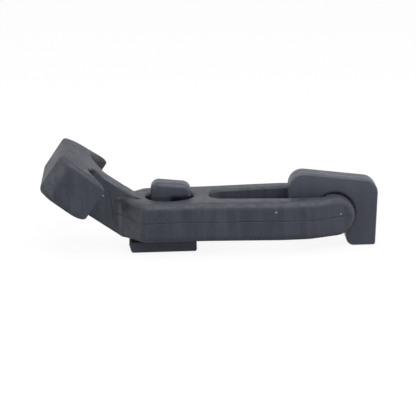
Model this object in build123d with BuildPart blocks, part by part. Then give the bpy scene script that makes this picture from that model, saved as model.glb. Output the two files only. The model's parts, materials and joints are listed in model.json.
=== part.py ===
"""Rubber T draw latch: a one-piece rubber strap, its mounting bracket and its keeper.

The frame has +Z up from the mounting plane and +X along the latch, from the T handle to the
bracket. The origin is the mouth of the bracket's screw hole, on the mounting plane.
"""

from build123d import *
from math import cos, radians, sin
import os

# ---- driving dimensions, millimetres ---------------------------------------------------------

# Pivot: the strap's end bar turns in the bracket's pocket about this axis, along Y.
PIVOT_X = -12.0
PIVOT_Z = 14.2

# Strap. Distances named X are ahead of the pivot, towards the bracket's leg.
STRAP_THICK = 16.1
STRAP_BOTTOM = PIVOT_Z - STRAP_THICK / 2
STRAP_TOP = PIVOT_Z + STRAP_THICK / 2
BAR_RADIUS = 7.75
EDGE_RADIUS = 3.0
INNER_EDGE_RADIUS = 1.2

# Plan of the strap, half widths
NECK_HALF = 4.7
NECK_START = -3.6
NECK_EDGE = 0.9
SHOULDER_BACK = -95.0
SHOULDER_RISE_X = -81.0
SHOULDER_RISE = 5.2
SHOULDER_RISE_RADIUS = 9.0
SHOULDER_START = -88.5
SHOULDER_END = -78.5
SHOULDER_HALF = 16.6
WAIST_X = -56.0
WAIST_HALF = 16.5
LOOP_X = -22.0
LOOP_HALF = 19.0
TAPER_X = -10.5
TIP_X = 12.0
TIP_HALF = 9.2

# Keeper hole, bracket slot, and the slot's narrow end round the bar
HOLE_X = -67.2
HOLE_RADIUS = 9.7
SLOT_LEFT = -51.0
SLOT_END_RADIUS = 6.9
SLOT_WIDE_X = -20.0
SLOT_WIDE_HALF = 10.2
SLOT_RIGHT = -3.6
SLOT_CORNER_RADIUS = 4.6
EYE_HALF = 5.5

# Handle: a slab that rises from the body at this angle
HANDLE_ANGLE = 35.0
HANDLE_THICK = 16.95
BEND_TOP_X = -80.1
BEND_TOP_RADIUS = 8.0
BEND_BOTTOM_RADIUS = 3.2

# T bar, measured along the handle from the top bend, and half widths
T_RAISE = 1.2
T_DEPTH = 16.8
T_RAMP = 8.5
T_EDGE = 2.0
T_END = 37.1
T_WING_LENGTH = 21.6
T_WING_SWEEP = 7.9
T_WING_REACH = 9.3
T_END_HALF = 17.4
T_SIDE = 32.6
T_SIDE_HALF = 22.2
T_SIDE_RADIUS = 9.0
T_WING_HALF = 25.2
T_TIP_RADIUS = 3.2
T_KNEE_RADIUS = 5.0
T_ROOT_RADIUS = 7.4
T_BOTTOM_EDGE = 3.3

# Bracket, about the pivot
BRACKET_WIDTH = 10.0
POCKET_RADIUS = 7.95
BRACKET_LEFT = -18.4
BRACKET_RIGHT_TOP = 18.2
BRACKET_RIGHT_FOOT = 16.7
BRACKET_TOP_LEFT = 31.75
BRACKET_TOP_RIGHT = 27.0
BRACKET_CORNER_RADIUS = 6.0
LEG_INNER = 4.8
LIP_Z = 6.5
FOOT_INNER_RADIUS = 3.2
NOSE_TIP_Z = 8.0
NOSE_RADIUS = 3.6
NOSE_LIP_RADIUS = 0.8
FOOT_OUTER_RADIUS = 1.0
BRACKET_EDGE = 0.9
BRACKET_SCREW_RADIUS = 2.1
BRACKET_SCREW_DEPTH = 10.0

# Keeper
KEEPER_LEFT = -84.6
KEEPER_RIGHT = -56.6
KEEPER_HALF = 6.9
KEEPER_PLATE = 4.8
KEEPER_END_SLANT = 1.3
STEM_LEFT = -74.8
STEM_RIGHT = -66.7
HEAD_HALF = 4.6
NOSE_RIGHT = -58.4
NOSE_UNDER = 21.6
HEAD_TOP_LEFT = 29.1
HEAD_TOP_RIGHT = 27.3
KEEPER_EDGE = 0.7
HEAD_EDGE = 1.9
KEEPER_SCREW_RADIUS = 2.1
KEEPER_SCREW_DEPTH = 16.0

os.makedirs("parts", exist_ok=True)


def at(x, z):
    """A point of a side view, from its distance ahead of the pivot and its height."""
    return (PIVOT_X + x, z)


# ---- strap -----------------------------------------------------------------------------------

RISE = (-cos(radians(HANDLE_ANGLE)), sin(radians(HANDLE_ANGLE)))
LIFT = (sin(radians(HANDLE_ANGLE)), cos(radians(HANDLE_ANGLE)))
DOWN_HANDLE = (-RISE[0], -RISE[1])


def on_handle(along, depth):
    """A side view point, from the way up the handle and the depth below its top face."""
    x = BEND_TOP_X + along * RISE[0] - depth * LIFT[0]
    z = STRAP_TOP + along * RISE[1] - depth * LIFT[1]
    return at(x, z)


# The handle's underside meets the body's underside this far back along the handle.
bend_along = (HANDLE_THICK * LIFT[1] - STRAP_THICK) / RISE[1]
back_along = (BEND_TOP_X - HANDLE_THICK * LIFT[0] - SHOULDER_BACK) / -RISE[0]
wing_tip = T_END - T_WING_LENGTH
root = wing_tip + T_WING_SWEEP


def side_of(p):
    """The side view coordinates of a point, as used by at()."""
    return (p.X - PIVOT_X, p.Z)


def on_corner(v, u, w):
    """Whether a corner of the T bar's plan stands at u along the handle and w to either side."""
    return abs(v.X - u) < 0.01 and abs(abs(v.Y) - w) < 0.01


def handle_depth(p):
    """How far a point lies below the plane of the handle's top face."""
    dx = p.X - PIVOT_X - BEND_TOP_X
    dz = p.Z - STRAP_TOP
    return -(dx * LIFT[0] + dz * LIFT[1])


def rim_of(builder, high, low):
    """The neck's lengthwise edges between two depths, up to the T bar."""
    found = []
    for edge in builder.edges():
        middle = edge @ 0.5
        along = (middle.X - PIVOT_X - BEND_TOP_X) * RISE[0] + (middle.Z - STRAP_TOP) * RISE[1]
        across = abs((edge % 0.5).Y) > 0.999
        if not across and along < root - 0.01:
            if high - 0.01 < handle_depth(middle) < low + 0.01:
                found.append(edge)
    return found


def near(sketch, spot):
    """The sketch's corners at a side view point."""
    found = []
    for v in sketch.vertices():
        if abs(v.X - spot[0]) < 0.01 and abs(v.Y - spot[1]) < 0.01:
            found.append(v)
    return found


def on_skin(p):
    """Whether a point lies on the strap's upper or lower skin or its round end."""
    x, z = side_of(p)
    rise = max(0, SHOULDER_RISE_X - x) * SHOULDER_RISE / (SHOULDER_RISE_X - SHOULDER_BACK)
    top = STRAP_TOP + rise - z
    bottom = max(handle_depth(p) - HANDLE_THICK, STRAP_BOTTOM - z)
    if x > 0:
        return abs((x**2 + (z - PIVOT_Z) ** 2) ** 0.5 - STRAP_THICK / 2) < 0.01
    return abs(top) < 0.6 or abs(bottom) < 0.6


def outline_edges(builder):
    """The edges between the strap's skin and its side walls."""
    found = []
    for edge in builder.edges():
        if abs((edge % 0.5).Y) > 0.999 and abs((edge @ 0.5).Y) < 0.01:
            continue
        if all(on_skin(edge @ t) for t in (0.0, 0.3, 0.5, 0.7, 1.0)):
            found.append(edge)
    return found


def opening_edges(builder):
    """The edges of the hole and slot on the body's upper and lower faces and round end."""
    found = []
    for edge in builder.edges():
        middle = edge @ 0.5
        x, z = side_of(middle)
        in_hole = abs((middle.X - PIVOT_X - HOLE_X) ** 2 + middle.Y**2 - HOLE_RADIUS**2) < 0.1
        in_slot = x > SLOT_LEFT - 0.1 and abs(middle.Y) < SLOT_WIDE_HALF + 0.1
        if (in_hole or in_slot) and all(on_skin(edge @ t) for t in (0.0, 0.3, 0.5, 0.7, 1.0)):
            found.append(edge)
    return found


handle_plane = Plane(
    origin=(PIVOT_X + BEND_TOP_X, 0, STRAP_TOP),
    x_dir=(RISE[0], 0, RISE[1]),
    z_dir=(LIFT[0], 0, LIFT[1]),
)

with BuildPart() as tee_bar:
    # Plan of the T bar, its wings swept back towards the body.
    with BuildSketch(handle_plane.offset(T_RAISE)) as tee_plan:
        with BuildLine():
            half = [
                (T_END, T_END_HALF),
                (T_SIDE, T_SIDE_HALF),
                (wing_tip, T_WING_HALF),
                (root, T_WING_HALF - T_WING_REACH),
            ]
            Polyline(*half, *[(u, -w) for u, w in reversed(half)], close=True)
        make_face()
        points = tee_plan.vertices()
        sides = [v for v in points if on_corner(v, T_SIDE, T_SIDE_HALF)]
        tips = [v for v in points if on_corner(v, wing_tip, T_WING_HALF)]
        knees = [v for v in points if on_corner(v, root, T_WING_HALF - T_WING_REACH)]
        fillet(sides, T_SIDE_RADIUS)
        fillet(tips, T_TIP_RADIUS)
        fillet(knees, T_KNEE_RADIUS)
    extrude(amount=-T_DEPTH - T_RAISE)
    for depth, radius in ((-T_RAISE, T_EDGE), (T_DEPTH, T_BOTTOM_EDGE)):
        rim = [e for e in tee_bar.edges() if abs(handle_depth(e @ 0.5) - depth) < 0.01]
        fillet(rim, radius)

with BuildPart() as neck:
    # Plan of the neck, flared into the T bar.
    with BuildSketch(handle_plane.offset(T_RAISE)) as neck_plan:
        with BuildLine():
            half = [
                (root + T_EDGE + 0.2, NECK_HALF + T_ROOT_RADIUS),
                (root, NECK_HALF + T_ROOT_RADIUS),
                (root, NECK_HALF),
                (NECK_START, NECK_HALF),
            ]
            Polyline(*half, *[(u, -w) for u, w in reversed(half)], close=True)
        make_face()
        roots = [v for v in neck_plan.vertices() if on_corner(v, root, NECK_HALF)]
        fillet(roots, T_ROOT_RADIUS - 0.1)
    extrude(amount=-HANDLE_THICK - T_RAISE)

    # The neck's top lies lower than the T bar's, with a ramp up to it between the wings.
    ramp_top = on_handle(root, -T_RAISE)
    ramp_foot = on_handle(root - T_RAMP, 0)
    with BuildSketch(Plane.XZ):
        with BuildLine():
            Spline(ramp_top, ramp_foot, tangents=(DOWN_HANDLE, DOWN_HANDLE))
            Polyline(
                ramp_foot,
                on_handle(NECK_START - 1, 0),
                on_handle(NECK_START - 1, -T_RAISE - 1),
                on_handle(root, -T_RAISE - 1),
                ramp_top,
            )
        make_face()
    extrude(amount=T_WING_HALF, both=True, mode=Mode.SUBTRACT)
    for high, low in ((-T_RAISE, 0), (HANDLE_THICK, HANDLE_THICK)):
        fillet(rim_of(neck, high, low), NECK_EDGE)

with BuildPart() as strap:
    # Side view of body and neck, with a full-round end at the pivot.
    with BuildSketch(Plane.XZ) as side:
        with BuildLine():
            Polyline(
                at(0, STRAP_TOP),
                at(SHOULDER_RISE_X, STRAP_TOP),
                at(SHOULDER_BACK, STRAP_TOP + SHOULDER_RISE),
                on_handle(back_along, HANDLE_THICK),
                on_handle(bend_along, HANDLE_THICK),
                at(0, STRAP_BOTTOM),
            )
            ThreePointArc(
                at(0, STRAP_BOTTOM),
                at(STRAP_THICK / 2, PIVOT_Z),
                at(0, STRAP_TOP),
            )
        make_face()
        fillet(near(side, on_handle(bend_along, HANDLE_THICK)), BEND_BOTTOM_RADIUS)
        fillet(near(side, at(SHOULDER_RISE_X, STRAP_TOP)), SHOULDER_RISE_RADIUS)
    extrude(amount=LOOP_HALF + 1, both=True)

    # Plan of body and neck.
    with BuildSketch(Plane.XY) as plan:
        with BuildLine():
            outer = [
                (PIVOT_X + SHOULDER_START, NECK_HALF - 0.2),
                (PIVOT_X + SHOULDER_END, SHOULDER_HALF),
                (PIVOT_X + WAIST_X, WAIST_HALF),
                (PIVOT_X + LOOP_X, LOOP_HALF),
                (PIVOT_X + TAPER_X, LOOP_HALF - 0.6),
                (PIVOT_X + TIP_X, TIP_HALF),
            ]
            back = PIVOT_X + SHOULDER_BACK - 4
            mirrored = [(x, -y) for x, y in reversed(outer)]
            Polyline(
                (back, NECK_HALF - 0.2),
                *outer,
                *mirrored,
                (back, 0.2 - NECK_HALF),
                close=True,
            )
        make_face()
        for x, radius in (
            (SHOULDER_START, 6.0),
            (SHOULDER_END, 5.0),
            (WAIST_X, 200.0),
            (LOOP_X, 30.0),
            (TAPER_X, 14.0),
        ):
            fillet(
                [v for v in plan.vertices() if abs(v.X - PIVOT_X - x) < 0.01], radius
            )
    extrude(amount=80, mode=Mode.INTERSECT)

    # Moulded edge radius round the whole outline, above and below.
    fillet(outline_edges(strap), EDGE_RADIUS)

    # Keeper hole and bracket slot.
    with BuildSketch(Plane.XY) as hole:
        with Locations((PIVOT_X + HOLE_X, 0)):
            Circle(HOLE_RADIUS)
    extrude(amount=80, mode=Mode.SUBTRACT)
    with BuildSketch(Plane.XY) as slot:
        with BuildLine():
            left = [
                (PIVOT_X + SLOT_LEFT, SLOT_END_RADIUS),
                (PIVOT_X + SLOT_WIDE_X, SLOT_WIDE_HALF),
                (PIVOT_X + SLOT_RIGHT, SLOT_WIDE_HALF),
                (PIVOT_X + SLOT_RIGHT, EYE_HALF),
                (PIVOT_X + STRAP_THICK, EYE_HALF),
            ]
            Polyline(*left, *[(x, -y) for x, y in reversed(left)], close=True)
        make_face()
        fillet(
            [v for v in slot.vertices() if abs(v.X - PIVOT_X - SLOT_LEFT) < 0.01],
            SLOT_END_RADIUS - 0.3,
        )
        fillet(
            [v for v in slot.vertices() if abs(v.X - PIVOT_X - SLOT_WIDE_X) < 0.01],
            20,
        )
        right = [v for v in slot.vertices() if abs(v.X - PIVOT_X - SLOT_RIGHT) < 0.01]
        fillet([v for v in right if abs(v.Y) > EYE_HALF + 1], SLOT_CORNER_RADIUS - 0.2)
    extrude(amount=80, mode=Mode.SUBTRACT)
    fillet(opening_edges(strap), INNER_EDGE_RADIUS)

    # The crook between the body's top and the neck's, rounded.
    with BuildSketch(Plane.XZ) as crook:
        with BuildLine():
            Polyline(
                at(BEND_TOP_X + 2.7, STRAP_TOP),
                at(BEND_TOP_X, STRAP_TOP),
                on_handle(6, 0),
                on_handle(4, 6),
                at(BEND_TOP_X + 2.7, STRAP_TOP - 6),
                close=True,
            )
        make_face()
        fillet(near(crook, at(BEND_TOP_X, STRAP_TOP)), BEND_TOP_RADIUS)
    extrude(amount=NECK_HALF - 0.25, both=True)

    # The handle: its neck and the T bar at its end.
    add(neck.part)
    add(tee_bar.part)

    # The end bar, between the two limbs of the loop.
    with BuildSketch(Plane.XZ):
        with Locations(at(0, PIVOT_Z)):
            Circle(BAR_RADIUS)
    extrude(amount=EYE_HALF + 2, both=True)

strap.part.label = "strap"
export_step(strap.part, "parts/strap.step")

# ---- bracket ---------------------------------------------------------------------------------

lip_x = (POCKET_RADIUS**2 - (PIVOT_Z - LIP_Z) ** 2) ** 0.5
nose_x = -((POCKET_RADIUS**2 - (PIVOT_Z - NOSE_TIP_Z) ** 2) ** 0.5)

with BuildPart() as bracket:
    # Side view: a foot and leg, an arch over the end bar, and a nose down into the slot.
    with BuildSketch(Plane.XZ) as hook:
        with BuildLine():
            Polyline(
                at(LEG_INNER, 0),
                at(BRACKET_RIGHT_FOOT, 0),
                at(BRACKET_RIGHT_TOP, BRACKET_TOP_RIGHT),
                at(BRACKET_LEFT, BRACKET_TOP_LEFT),
                at(BRACKET_LEFT, NOSE_TIP_Z),
                at(nose_x, NOSE_TIP_Z),
            )
            ThreePointArc(
                at(nose_x, NOSE_TIP_Z),
                at(0, PIVOT_Z + POCKET_RADIUS),
                at(lip_x, LIP_Z),
            )
            Polyline(at(lip_x, LIP_Z), at(LEG_INNER, LIP_Z - 0.6), at(LEG_INNER, 0))
        make_face()
        fillet(near(hook, at(LEG_INNER, 0)), FOOT_INNER_RADIUS)
        fillet(near(hook, at(BRACKET_RIGHT_FOOT, 0)), FOOT_OUTER_RADIUS)
        fillet(near(hook, at(BRACKET_RIGHT_TOP, BRACKET_TOP_RIGHT)), BRACKET_CORNER_RADIUS)
        fillet(near(hook, at(BRACKET_LEFT, BRACKET_TOP_LEFT)), BRACKET_CORNER_RADIUS)
        fillet(near(hook, at(BRACKET_LEFT, NOSE_TIP_Z)), NOSE_RADIUS)
        fillet(near(hook, at(nose_x, NOSE_TIP_Z)), NOSE_LIP_RADIUS)
        fillet(near(hook, at(lip_x, LIP_Z)), 0.6)
    extrude(amount=BRACKET_WIDTH / 2, both=True)
    rims = [e for e in bracket.edges() if abs(abs((e @ 0.5).Y) - BRACKET_WIDTH / 2) < 0.01]
    fillet(rims, BRACKET_EDGE)

    # Blind screw hole up from the foot.
    with Locations((0, 0, 0)):
        Cylinder(
            BRACKET_SCREW_RADIUS,
            BRACKET_SCREW_DEPTH,
            align=(Align.CENTER, Align.CENTER, Align.MIN),
            mode=Mode.SUBTRACT,
        )

bracket.part.label = "bracket"
export_step(bracket.part, "parts/bracket.step")

# ---- keeper ----------------------------------------------------------------------------------

with BuildPart() as keeper:
    # Base plate, its far end slanted.
    with BuildSketch(Plane.XZ) as base:
        with BuildLine():
            Polyline(
                at(KEEPER_LEFT + KEEPER_END_SLANT, 0),
                at(KEEPER_RIGHT, 0),
                at(KEEPER_RIGHT, KEEPER_PLATE),
                at(KEEPER_LEFT, KEEPER_PLATE),
                close=True,
            )
        make_face()
        fillet(near(base, at(KEEPER_LEFT + KEEPER_END_SLANT, 0)), 1.2)
        fillet(near(base, at(KEEPER_LEFT, KEEPER_PLATE)), 1.2)
        fillet(near(base, at(KEEPER_RIGHT, 0)), 0.9)
        fillet(near(base, at(KEEPER_RIGHT, KEEPER_PLATE)), 0.9)
    extrude(amount=KEEPER_HALF, both=True)
    rims = [e for e in keeper.edges() if abs(abs((e @ 0.5).Y) - KEEPER_HALF) < 0.01]
    fillet(rims, KEEPER_EDGE)

    # Stem and head, the nose pointing towards the bracket.
    with BuildSketch(Plane.XZ) as post:
        with BuildLine():
            Polyline(
                at(STEM_LEFT, KEEPER_PLATE / 2),
                at(STEM_RIGHT, KEEPER_PLATE / 2),
                at(STEM_RIGHT, NOSE_UNDER),
                at(NOSE_RIGHT, NOSE_UNDER),
                at(NOSE_RIGHT, HEAD_TOP_RIGHT),
                at(STEM_LEFT, HEAD_TOP_LEFT),
                close=True,
            )
        make_face()
        fillet(near(post, at(STEM_RIGHT, NOSE_UNDER)), 1.5)
        fillet(near(post, at(NOSE_RIGHT, NOSE_UNDER)), 1.0)
        fillet(near(post, at(NOSE_RIGHT, HEAD_TOP_RIGHT)), 3.6)
        fillet(near(post, at(STEM_LEFT, HEAD_TOP_LEFT)), 3.4)
    extrude(amount=HEAD_HALF, both=True)
    rims = []
    for edge in keeper.edges():
        middle = edge @ 0.5
        if abs(abs(middle.Y) - HEAD_HALF) < 0.01 and middle.Z > KEEPER_PLATE + 0.1:
            rims.append(edge)
    fillet(rims, HEAD_EDGE)

    # Blind screw hole up through the base into the stem.
    with Locations((PIVOT_X + (STEM_LEFT + STEM_RIGHT) / 2, 0, 0)):
        Cylinder(
            KEEPER_SCREW_RADIUS,
            KEEPER_SCREW_DEPTH,
            align=(Align.CENTER, Align.CENTER, Align.MIN),
            mode=Mode.SUBTRACT,
        )

keeper.part.label = "keeper"
export_step(keeper.part, "parts/keeper.step")
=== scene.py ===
"""Looks for the rubber T draw latch: moulded black rubber strap, matt plastic bracket and keeper.

What is placed in Blender is in metres. Places and sizes in the finishes are millimetres in the part's
frame, where x runs along the latch, y across it and z up, and the near side is the one with y below 0.
"""

import json
import math

import bpy
from mathutils import Matrix, Vector


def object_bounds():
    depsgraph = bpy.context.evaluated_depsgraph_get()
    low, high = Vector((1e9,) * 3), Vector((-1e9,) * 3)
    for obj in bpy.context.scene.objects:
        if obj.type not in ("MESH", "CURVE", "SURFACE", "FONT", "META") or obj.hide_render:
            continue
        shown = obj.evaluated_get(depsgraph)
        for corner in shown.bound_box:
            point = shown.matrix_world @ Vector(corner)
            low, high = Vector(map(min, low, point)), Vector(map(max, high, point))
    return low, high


MM = 0.001

# ---- the frame -------------------------------------------------------------------------------

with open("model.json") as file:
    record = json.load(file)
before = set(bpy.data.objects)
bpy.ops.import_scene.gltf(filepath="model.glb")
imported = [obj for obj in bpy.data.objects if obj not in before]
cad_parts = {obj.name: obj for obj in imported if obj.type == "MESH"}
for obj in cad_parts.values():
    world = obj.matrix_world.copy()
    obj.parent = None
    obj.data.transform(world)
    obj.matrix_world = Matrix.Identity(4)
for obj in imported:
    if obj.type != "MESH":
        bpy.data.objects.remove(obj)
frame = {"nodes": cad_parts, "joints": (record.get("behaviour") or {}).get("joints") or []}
cad_box = [list(corner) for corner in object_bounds()]
pivot = Vector(frame["joints"][0]["pos_m"])

# ---- camera ----------------------------------------------------------------------------------

CAMERA_ELEVATION = math.radians(14.0)
CAMERA_YAW = math.radians(1.6)
CAMERA_ROLL = math.radians(1.3)
CAMERA_DISTANCE = 0.81
CAMERA_LENS = 171.5
CAMERA_AIM = Vector((-0.0636, -0.0028, 0.01709))


def add_camera():
    """A long lens on the near side, looking slightly down, turned a little about its own axis."""
    look = Vector(
        (
            math.sin(CAMERA_YAW) * math.cos(CAMERA_ELEVATION),
            math.cos(CAMERA_YAW) * math.cos(CAMERA_ELEVATION),
            -math.sin(CAMERA_ELEVATION),
        )
    )
    level = Vector((math.cos(CAMERA_YAW), -math.sin(CAMERA_YAW), 0))
    upright = level.cross(look)
    right = math.cos(CAMERA_ROLL) * level - math.sin(CAMERA_ROLL) * upright
    up = math.sin(CAMERA_ROLL) * level + math.cos(CAMERA_ROLL) * upright
    data = bpy.data.cameras.new("camera")
    data.lens = CAMERA_LENS
    data.sensor_width = 36.0
    data.clip_start = 0.05
    data.clip_end = 50.0
    camera = bpy.data.objects.new("camera", data)
    bpy.context.scene.collection.objects.link(camera)
    turn = Matrix((right, up, -look)).transposed().to_4x4()
    camera.matrix_world = Matrix.Translation(CAMERA_AIM - look * CAMERA_DISTANCE) @ turn
    bpy.context.scene.camera = camera


# ---- light and ground ------------------------------------------------------------------------

# Places and sizes are in metres and powers in watts.
WORLD_LIGHT = 0.5
LAMPS = {
    "front": {"place": (0.05, -0.6, 0.6), "power": 3.3, "size": 0.5},
    "low": {"place": (0.15, -0.85, 0.2), "power": 0.5, "size": 0.4},
    "left": {"place": (-0.7, -0.2, 0.5), "power": 0.6, "size": 0.5},
    "right": {"place": (0.7, -0.3, 0.5), "power": 1.0, "size": 0.5},
    "overhead": {"place": (-0.25, 0.15, 0.75), "power": 1.0, "size": 0.6},
}
FLOOR_SIZE = 6.0
FLOOR_GAP = 0.0002
# The sheet's white for the light it passes on, and its white and glow where it is seen.
FLOOR_WHITE = 0.35
FLOOR_SEEN = 0.12
FLOOR_GLOW = 0.9


def seen_directly(nodes, links):
    """1 where a ray from the camera, or a mirror or glass ray, arrives; otherwise 0."""
    path = nodes.new("ShaderNodeLightPath")
    add = nodes.new("ShaderNodeMath")
    add.operation = "MAXIMUM"
    links.new(path.outputs["Is Camera Ray"], add.inputs[0])
    links.new(path.outputs["Is Glossy Ray"], add.inputs[1])
    more = nodes.new("ShaderNodeMath")
    more.operation = "MAXIMUM"
    links.new(add.outputs[0], more.inputs[0])
    links.new(path.outputs["Is Transmission Ray"], more.inputs[1])
    return more.outputs[0]


def add_world():
    """Plain soft light from all round, and a white surround where it is seen."""
    world = bpy.data.worlds.new("studio")
    bpy.context.scene.world = world
    world.use_nodes = True
    nodes, links = world.node_tree.nodes, world.node_tree.links
    background = nodes["Background"]
    background.inputs["Color"].default_value = (1, 1, 1, 1)
    seen = seen_directly(nodes, links)
    strength = nodes.new("ShaderNodeMapRange")
    strength.inputs["To Min"].default_value = WORLD_LIGHT
    strength.inputs["To Max"].default_value = 1.0
    links.new(seen, strength.inputs["Value"])
    links.new(strength.outputs[0], background.inputs["Strength"])


def add_lamp(name, place, power, size):
    """A square soft lamp at place, facing the middle of the latch."""
    data = bpy.data.lights.new(name, "AREA")
    data.energy = power
    data.size = size
    lamp = bpy.data.objects.new(name, data)
    lamp.location = place
    lamp.rotation_mode = "QUATERNION"
    lamp.rotation_quaternion = (CAMERA_AIM - Vector(place)).to_track_quat("-Z", "Y")
    bpy.context.scene.collection.objects.link(lamp)


def add_floor():
    """A white sheet under the latch, which keeps only a faint shadow."""
    half = FLOOR_SIZE / 2
    mesh = bpy.data.meshes.new("floor")
    corners = [(-half, -half, 0), (half, -half, 0), (half, half, 0), (-half, half, 0)]
    mesh.from_pydata(corners, [], [(0, 1, 2, 3)])
    floor = bpy.data.objects.new("floor", mesh)
    floor.location.z = cad_box[0][2] - FLOOR_GAP
    bpy.context.scene.collection.objects.link(floor)
    material = bpy.data.materials.new("floor_white")
    material.use_nodes = True
    nodes, links = material.node_tree.nodes, material.node_tree.links
    nodes.clear()
    seen = seen_directly(nodes, links)
    shade = nodes.new("ShaderNodeMapRange")
    shade.inputs["To Min"].default_value = FLOOR_WHITE
    shade.inputs["To Max"].default_value = FLOOR_SEEN
    links.new(seen, shade.inputs["Value"])
    diffuse = nodes.new("ShaderNodeBsdfDiffuse")
    links.new(shade.outputs[0], diffuse.inputs["Color"])
    glow = nodes.new("ShaderNodeEmission")
    strength = nodes.new("ShaderNodeMath")
    strength.operation = "MULTIPLY"
    strength.inputs[1].default_value = FLOOR_GLOW
    links.new(seen, strength.inputs[0])
    links.new(strength.outputs[0], glow.inputs["Strength"])
    both = nodes.new("ShaderNodeAddShader")
    output = nodes.new("ShaderNodeOutputMaterial")
    links.new(diffuse.outputs[0], both.inputs[0])
    links.new(glow.outputs[0], both.inputs[1])
    links.new(both.outputs[0], output.inputs["Surface"])
    mesh.materials.append(material)


# ---- shader calls ----------------------------------------------------------------------------

# Where a mask starts and ends, in how far the surface faces one way, from -1 to 1.
FACES_OUT = (0.25, 0.6)
FACES_IN = (-0.3, 0.15)
STANDS_UP = (0.5, 0.85)
TURNS = (0.3, 0.5)
# The part of a noise that becomes a patch, a streak or a grain.
PATCH = (0.3, 0.7)
STREAK = (0.35, 0.65)
GRAIN = (0.25, 0.75)
NEAR_SIDE_Y = (-1.0, 0.0)
SPOT_CORE = 0.4


class Shader:
    """A material being built: short calls for the nodes that the finishes share."""

    def __init__(self, name):
        self.material = bpy.data.materials.new(name)
        self.material.use_nodes = True
        self.nodes = self.material.node_tree.nodes
        self.links = self.material.node_tree.links
        self.surface = self.nodes["Principled BSDF"].inputs
        place = self.nodes.new("ShaderNodeTexCoord").outputs
        self.mm = self.vector("MULTIPLY", place["Object"], (1 / MM, 1 / MM, 1 / MM))
        self.x, self.y, self.z = self.split(self.mm)
        # How far the surface faces across the latch, and how far it faces up, from -1 to 1.
        _, self.across, self.upward = self.split(place["Normal"])

    def feed(self, socket, value):
        """Links value to a socket if it is one, and otherwise writes it there."""
        if isinstance(value, bpy.types.NodeSocket):
            self.links.new(value, socket)
        else:
            socket.default_value = value

    def split(self, vector):
        """The three parts of a vector."""
        node = self.nodes.new("ShaderNodeSeparateXYZ")
        self.links.new(vector, node.inputs[0])
        return node.outputs

    def math(self, operation, a, b=0.0, clamp=False):
        """One scalar operation."""
        node = self.nodes.new("ShaderNodeMath")
        node.operation = operation
        node.use_clamp = clamp
        self.feed(node.inputs[0], a)
        self.feed(node.inputs[1], b)
        return node.outputs[0]

    def vector(self, operation, a, b):
        """One vector operation."""
        node = self.nodes.new("ShaderNodeVectorMath")
        node.operation = operation
        self.feed(node.inputs[0], a)
        self.feed(node.inputs[1], b)
        return node.outputs[0]

    def times(self, value, amount):
        """A value made stronger or weaker."""
        return self.math("MULTIPLY", value, amount)

    def size_of(self, value):
        """A value without its sign."""
        return self.math("ABSOLUTE", value)

    def mix(self, amount, a, b):
        """Colour a turning into colour b as amount goes from 0 to 1."""
        node = self.nodes.new("ShaderNodeMix")
        node.data_type = "RGBA"
        self.feed(node.inputs["Factor"], amount)
        for socket, colour in ((node.inputs[6], a), (node.inputs[7], b)):
            if isinstance(colour, tuple):
                colour = (*colour, 1.0)
            self.feed(socket, colour)
        return node.outputs[2]

    def bump(self, height_mm, below=None):
        """Turns a height in millimetres into a normal, on top of another normal."""
        node = self.nodes.new("ShaderNodeBump")
        node.inputs["Distance"].default_value = MM
        self.feed(node.inputs["Height"], height_mm)
        if below is not None:
            self.links.new(below, node.inputs["Normal"])
        return node.outputs[0]

    # Values that change over the surface.

    def ramp(self, value, low, high, to_low=0.0, to_high=1.0, kind="SMOOTHSTEP"):
        """Maps value from low..high to to_low..to_high, held at both ends."""
        node = self.nodes.new("ShaderNodeMapRange")
        node.interpolation_type = kind
        self.feed(node.inputs["Value"], value)
        node.inputs["From Min"].default_value = low
        node.inputs["From Max"].default_value = high
        node.inputs["To Min"].default_value = to_low
        node.inputs["To Max"].default_value = to_high
        return node.outputs[0]

    def climb(self, value, reach, to_low, to_high):
        """A straight change from to_low to to_high while value crosses reach."""
        return self.ramp(value, *reach, to_low, to_high, kind="LINEAR")

    def noise(self, size, detail, stretch=(1, 1, 1)):
        """Soft noise from 0 to 1 whose features are about size across."""
        node = self.nodes.new("ShaderNodeTexNoise")
        node.inputs["Detail"].default_value = detail
        node.inputs["Scale"].default_value = 1.0 / size
        self.links.new(self.vector("MULTIPLY", self.mm, stretch), node.inputs["Vector"])
        return node.outputs["Fac"]

    def patches(self, size, low=0.0, high=1.0):
        """Patches about size across, with values from low to high."""
        return self.ramp(self.noise(size, 3.0), *PATCH, low, high)

    def side_distance(self, centre):
        """The distance in the side view from centre, which is an x and a z."""
        flat = self.vector("MULTIPLY", self.mm, (1, 0, 1))
        node = self.nodes.new("ShaderNodeVectorMath")
        node.operation = "LENGTH"
        apart = self.vector("SUBTRACT", flat, (centre[0], 0, centre[1]))
        self.links.new(apart, node.inputs[0])
        return node.outputs["Value"]

    # Masks, which are 1 where something is and 0 elsewhere.

    def below(self, value, low, high):
        """1 under low, fading to 0 at high."""
        return self.ramp(value, low, high, 1.0, 0.0)

    def near(self, value, centre, reach):
        """1 where value equals centre, fading to 0 at reach from it."""
        return self.below(self.size_of(self.math("SUBTRACT", value, centre)), 0.0, reach)

    def between(self, value, low, high, soft=1.0):
        """1 where value lies between low and high, with soft ends."""
        start = self.ramp(value, low - soft, low)
        return self.math("MULTIPLY", start, self.below(value, high, high + soft))

    def all_of(self, *masks):
        """The product of several masks."""
        return self.joined("MULTIPLY", masks)

    def any_of(self, *masks):
        """The strongest of several masks."""
        return self.joined("MAXIMUM", masks)

    def joined(self, operation, masks):
        """Several masks put together, two by two."""
        total = masks[0]
        for mask in masks[1:]:
            total = self.math(operation, total, mask)
        return total

    def spot(self, centre, reach):
        """A round spot on the near side, with a soft edge."""
        round_spot = self.below(self.side_distance(centre), reach * SPOT_CORE, reach)
        return self.math("MULTIPLY", round_spot, self.below(self.y, *NEAR_SIDE_Y))

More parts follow.
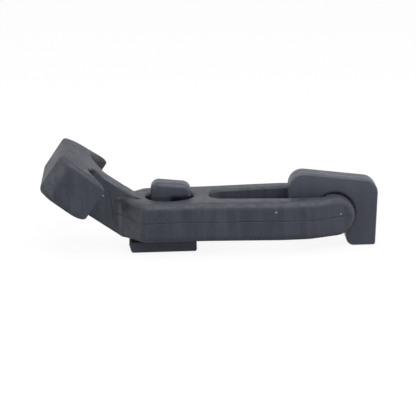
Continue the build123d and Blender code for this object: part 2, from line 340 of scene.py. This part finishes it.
    def rims(self):
        """The rounded rims along both sides, where the surface turns from top to side."""
        turned = self.size_of(self.across)
        flat = self.math("SUBTRACT", 1.0, self.math("MULTIPLY", turned, turned))
        upright = self.math("SQRT", self.math("MAXIMUM", flat, 0.0))
        return self.ramp(self.math("MULTIPLY", turned, upright), *TURNS)

    def outward(self):
        """How far the surface faces away from the middle plane, from -1 to 1."""
        return self.math("MULTIPLY", self.across, self.math("SIGN", self.y))

    def outer_walls(self):
        """Walls that face away from the middle plane."""
        return self.ramp(self.outward(), *FACES_OUT)

    def steep(self, low, high):
        """Surfaces that stand up: 1 where they face up or down by less than low."""
        return self.below(self.size_of(self.upward), low, high)

    def recesses(self, top, bottom):
        """Walls that face the middle plane, from 0 at the height top to 1 at bottom."""
        inner = self.below(self.outward(), *FACES_IN)
        return self.all_of(inner, self.steep(*STANDS_UP), self.below(self.z, bottom, top))

    # What both finishes are made of.

    def moulded(self, dark, light, grain_size):
        """A moulded colour: broad mottle, streaks down the walls and fine grain."""
        run = self.ramp(self.noise(STREAK_SIZE, 2.0, STREAK_STRETCH), *STREAK)
        grain = self.ramp(self.noise(grain_size, 2.0), *GRAIN)
        blend = self.times(self.patches(MOTTLE_SIZE), MOTTLE_SHARE)
        blend = self.math("ADD", blend, self.times(run, STREAK_SHARE))
        blend = self.math("ADD", blend, self.times(grain, GRAIN_SHARE), clamp=True)
        return self.mix(blend, dark, light)

    def relief(self, wave_size, wave_height, grain_size, grain_height, groove=None):
        """A slightly uneven moulded surface with fine grain, and a groove where one is given."""
        waves = self.bump(self.times(self.noise(wave_size, 2.0, WAVE_STRETCH), wave_height))
        grain = self.times(self.noise(grain_size, 3.0), grain_height)
        if groove is not None:
            grain = self.math("SUBTRACT", grain, groove)
        self.feed(self.surface["Normal"], self.bump(grain, below=waves))


# ---- colours and places of the finishes ------------------------------------------------------

RUBBER_DARK = (0.028, 0.031, 0.045)
RUBBER_LIGHT = (0.054, 0.058, 0.079)
# Painted highlight colours: the first on the strap's rims, the second on the hollow corner and the
# neck's upper rims.
RUBBER_RIM_HIGHLIGHT = (0.085, 0.088, 0.105)
RUBBER_HIGHLIGHT = (0.17, 0.175, 0.19)
PLASTIC_DARK = (0.027, 0.030, 0.044)
PLASTIC_LIGHT = (0.042, 0.046, 0.065)
# Painted highlight colour for the plastic's rims and its lighter top.
PLASTIC_HIGHLIGHT = (0.105, 0.114, 0.148)
# Dark for painted shade, and for the parting line.
SHADE_AND_LINE_DARK = (0.012, 0.013, 0.020)
DUST = (0.32, 0.35, 0.39)

# What takes a colour from dark to light: broad mottle, streaks that run down, and fine grain.
MOTTLE_SIZE = 9.0
MOTTLE_SHARE = 0.25
STREAK_SIZE = 2.4
STREAK_STRETCH = (1, 0.25, 0.09)
STREAK_SHARE = 0.45
GRAIN_SHARE = 0.3
RUBBER_GRAIN_SIZE = 0.9
PLASTIC_GRAIN_SIZE = 0.7

# Relief: waves, longer upwards, and grain.
WAVE_STRETCH = (1, 1, 0.4)
RUBBER_RELIEF = {"wave_size": 6.0, "wave_height": 0.25, "grain_size": 0.5, "grain_height": 0.03}
PLASTIC_RELIEF = {"wave_size": 5.0, "wave_height": 0.15, "grain_size": 0.4, "grain_height": 0.015}

RUBBER_GLOSS = 0.3
RUBBER_ROUGHNESS = {"size": 4.0, "low": 0.46, "high": 0.56}
HANDLE_ROUGHER = 0.05
# How much rougher the strap's hidden faces and the plastic's places under painted shade are.
HIDDEN_ROUGHER = 0.35
SHADE_ROUGHER = 0.4
PLASTIC_PATCH_SIZE = 4.0
PLASTIC_SPREAD = 0.05

# The parting line, from the loop to the T: along the walls, up the shoulder, in a step up the
# neck's side, along the neck, and faintly on the T's ends.
LINE_REACH = 0.42
LINE_DEPTH = 0.12
LINE_STRENGTH = 0.75
LINE_BREAK_SIZE = 5.0
LINE_BREAKS = (0.3, 0.55, 0.35, 1.0)
WAVER_SIZE = 14.0
WAVER_HEIGHT = 0.9
WALL_LINE_Z = 14.5
WALL_LINE_FROM_X = (-101.0, -100.5)
SHOULDER_X = (-99.5, -90.7)
SHOULDER_CLIMB = 2.0
STEP_X = -102.2
STEP_Z = (14.4, 25.4)
STEP_LEAN = 1.4
NECK_X = (-113.4, -103.6)
NECK_CLIMB = 2.2
NECK_WIDE_Y = (8.0, 10.0)
WING_X = (-128.0, -115.0)
WING_LINE_Z = 32.7
WING_LINE_SHARE = 0.35

# Marks on the strap, among them painted highlights and painted shade: a spot is a place in the side
# view and its reach.
# The painted highlight on the strap's rims, in patches.
RIM_HIGHLIGHT_PATCHES = {"size": 3.0, "low": 0.2, "high": 0.8}
DUST_SPECKS = (((-36.7, 18.4), 0.5), ((-10.2, 15.6), 0.4), ((-106.2, 24.0), 0.45))
# A painted shade under the bend between neck and shoulder, in patches.
UNDER_BEND_SHADE = ((-97.6, 20.8), 4.0)
UNDER_BEND_SHADE_PATCHES = {"size": 2.5, "low": 0.35, "high": 0.75}
# A painted highlight streak down the hollow corner between neck and shoulder.
CORNER_STREAK_X = -99.4
CORNER_STREAK_REACH = 1.2
CORNER_STREAK_Z = (12.0, 20.0, 2.0)
CORNER_STREAK_STANDS = (0.4, 0.7)
CORNER_STREAK_STRENGTH = 0.35
# A painted highlight along the neck's upper rims.
NECK_RIM_X = (-113.0, -102.0, 3.0)
NECK_RIM_Y = (6.0, 9.0)
NECK_RIM_FACES_UP = (0.2, 0.5)
NECK_RIM_STRENGTH = 0.7
HANDLE_TO_X = (-114.0, -111.0)

# Painted shade on the strap's hidden faces: inside its openings, and underneath.
BODY_FROM_X = (-92.0, -90.0)
OPENING_TOP = 21.0
OPENING_SHADED = 15.0
OPENING_STRENGTH = 0.8
UNDERSIDE = (-0.7, -0.15)
UNDERSIDE_STRENGTH = 0.5

# Painted highlights on the rims, a painted lighter top, and painted shade, on the bracket and the
# keeper.
RIM_PATCHES = {"size": 3.0, "low": 0.3, "high": 0.8}
# A painted lighter top on the plastic, growing with height.
TOP_LIGHT_Z = (16.0, 30.0)
TOP_LIGHT_STRENGTH = 0.3
# Painted shade on the bracket round the seat of the strap's bar.
SEAT_SHADE_RADII = (8.3, 9.8)
SEAT_SHADE_STRENGTH = 0.85
# Painted shade on the keeper's plate top and stem.
STEM_SHADE_Z = (4.6, 22.4, 0.9)
STEM_SHADE_STRENGTH = 0.6


# ---- finishes --------------------------------------------------------------------------------


def parting_line(s):
    """The mould's witness line, broken here and there."""
    waver = s.math("SUBTRACT", s.noise(WAVER_SIZE, 2.0), 0.5)
    height = s.math("ADD", s.z, s.times(waver, WAVER_HEIGHT))
    outer = s.outer_walls()
    narrow = s.below(s.size_of(s.y), *NECK_WIDE_Y)

    level = s.math("SUBTRACT", height, s.climb(s.x, SHOULDER_X, SHOULDER_CLIMB, 0.0))
    walls = s.all_of(s.near(level, WALL_LINE_Z, LINE_REACH), s.ramp(s.x, *WALL_LINE_FROM_X), outer)

    upright = s.math("ADD", s.x, s.climb(s.z, STEP_Z, 0.0, STEP_LEAN))
    step = s.all_of(s.near(upright, STEP_X, LINE_REACH), s.between(s.z, *STEP_Z), outer)

    level = s.math("SUBTRACT", height, s.climb(s.x, NECK_X, NECK_CLIMB, 0.0))
    neck = s.near(level, STEP_Z[1], LINE_REACH)
    neck = s.all_of(neck, s.between(s.x, *NECK_X), outer, narrow)

    ends = s.near(height, WING_LINE_Z, LINE_REACH)
    ends = s.all_of(ends, s.between(s.x, *WING_X), outer, s.math("SUBTRACT", 1.0, narrow))

    line = s.any_of(walls, step, neck, s.times(ends, WING_LINE_SHARE))
    return s.math("MULTIPLY", line, s.ramp(s.noise(LINE_BREAK_SIZE, 2.0), *LINE_BREAKS))


def hidden_rubber_shade(s):
    """Painted shade on the inner walls of the openings and on the underside, which are also duller."""
    inside = s.all_of(s.recesses(OPENING_TOP, OPENING_SHADED), s.ramp(s.x, *BODY_FROM_X))
    beneath = s.below(s.upward, *UNDERSIDE)
    return s.any_of(s.times(inside, OPENING_STRENGTH), s.times(beneath, UNDERSIDE_STRENGTH))


def neck_rim_highlight(s):
    """A painted highlight on the neck's crisp upper rims."""
    return s.all_of(
        s.rims(),
        s.between(s.x, *NECK_RIM_X),
        s.below(s.size_of(s.y), *NECK_RIM_Y),
        s.ramp(s.upward, *NECK_RIM_FACES_UP),
    )


def corner_highlight(s):
    """A painted highlight streak down the hollow corner between neck and shoulder."""
    across = s.near(s.x, CORNER_STREAK_X, CORNER_STREAK_REACH)
    return s.all_of(across, s.between(s.z, *CORNER_STREAK_Z), s.steep(*CORNER_STREAK_STANDS))


def rubber():
    """Black moulded rubber: matt, faintly blue, with painted highlights on its rims, painted shade
    under the bend, in its openings and underneath, and a parting line.
    """
    s = Shader("moulded_rubber")
    line = parting_line(s)
    hidden = hidden_rubber_shade(s)
    # Painted shade under the bend between neck and shoulder, in patches.
    under_bend_shade = s.math("MULTIPLY", s.spot(*UNDER_BEND_SHADE), s.patches(**UNDER_BEND_SHADE_PATCHES))
    specks = s.any_of(*[s.spot(centre, reach) for centre, reach in DUST_SPECKS])

    colour = s.moulded(RUBBER_DARK, RUBBER_LIGHT, RUBBER_GRAIN_SIZE)
    # Painted highlight along the rims, in patches.
    rim_highlight = s.math("MULTIPLY", s.rims(), s.patches(**RIM_HIGHLIGHT_PATCHES))
    colour = s.mix(rim_highlight, colour, RUBBER_RIM_HIGHLIGHT)
    # Painted shade under the bend and on the hidden faces.
    colour = s.mix(s.any_of(under_bend_shade, hidden), colour, SHADE_AND_LINE_DARK)
    # Painted highlight down the hollow corner.
    colour = s.mix(s.times(corner_highlight(s), CORNER_STREAK_STRENGTH), colour, RUBBER_HIGHLIGHT)
    # Painted highlight on the neck's upper rims.
    colour = s.mix(s.times(neck_rim_highlight(s), NECK_RIM_STRENGTH), colour, RUBBER_HIGHLIGHT)
    colour = s.mix(s.times(line, LINE_STRENGTH), colour, SHADE_AND_LINE_DARK)
    s.feed(s.surface["Base Color"], s.mix(specks, colour, DUST))

    handle = s.ramp(s.x, *HANDLE_TO_X, HANDLE_ROUGHER, 0.0)
    rough = s.math("ADD", s.patches(**RUBBER_ROUGHNESS), handle)
    s.feed(s.surface["Roughness"], s.math("ADD", rough, s.times(hidden, HIDDEN_ROUGHER)))
    s.surface["Specular IOR Level"].default_value = RUBBER_GLOSS
    s.relief(**RUBBER_RELIEF, groove=s.times(line, LINE_DEPTH))
    return s.material


def plastic(name, roughness, gloss, painted_shade_of):
    """Black moulded plastic, a little smoother than the rubber, with painted highlights on its rims, a
    painted lighter top, and painted shade that is also duller.
    """
    s = Shader(name)
    painted_shade = painted_shade_of(s)
    colour = s.moulded(PLASTIC_DARK, PLASTIC_LIGHT, PLASTIC_GRAIN_SIZE)
    # A painted lighter top, as if lit from above.
    colour = s.mix(s.ramp(s.z, *TOP_LIGHT_Z, 0.0, TOP_LIGHT_STRENGTH), colour, PLASTIC_HIGHLIGHT)
    # Painted highlight along the rims, in patches.
    rim = s.math("MULTIPLY", s.rims(), s.patches(**RIM_PATCHES))
    colour = s.mix(rim, colour, PLASTIC_HIGHLIGHT)
    # Painted shade where the given shade mask lies.
    s.feed(s.surface["Base Color"], s.mix(painted_shade, colour, SHADE_AND_LINE_DARK))

    low, high = roughness - PLASTIC_SPREAD, roughness + PLASTIC_SPREAD
    rough = s.patches(PLASTIC_PATCH_SIZE, low, high)
    s.feed(s.surface["Roughness"], s.math("ADD", rough, s.times(painted_shade, SHADE_ROUGHER)))
    s.surface["Specular IOR Level"].default_value = gloss
    s.relief(**PLASTIC_RELIEF)
    return s.material


def seat_shade(s):
    """Painted shade on the bracket round the seat that the strap's bar turns in."""
    seat = (pivot.x / MM, pivot.z / MM)
    return s.times(s.below(s.side_distance(seat), *SEAT_SHADE_RADII), SEAT_SHADE_STRENGTH)


def stem_shade(s):
    """Painted shade on the top of the keeper's plate and on its stem."""
    return s.times(s.between(s.z, *STEM_SHADE_Z), STEM_SHADE_STRENGTH)


def dress(node, material):
    """Gives a CAD node its finish."""
    piece = frame["nodes"][node]
    piece.data.materials.clear()
    piece.data.materials.append(material)


# ---- the scene -------------------------------------------------------------------------------

bpy.context.scene.view_settings.view_transform = "Standard"
add_camera()
add_world()
for name, lamp in LAMPS.items():
    add_lamp(name, **lamp)
add_floor()

dress("strap", rubber())
dress("bracket", plastic("bracket_plastic", roughness=0.48, gloss=0.4, painted_shade_of=seat_shade))
dress("keeper", plastic("keeper_plastic", roughness=0.44, gloss=0.3, painted_shade_of=stem_shade))
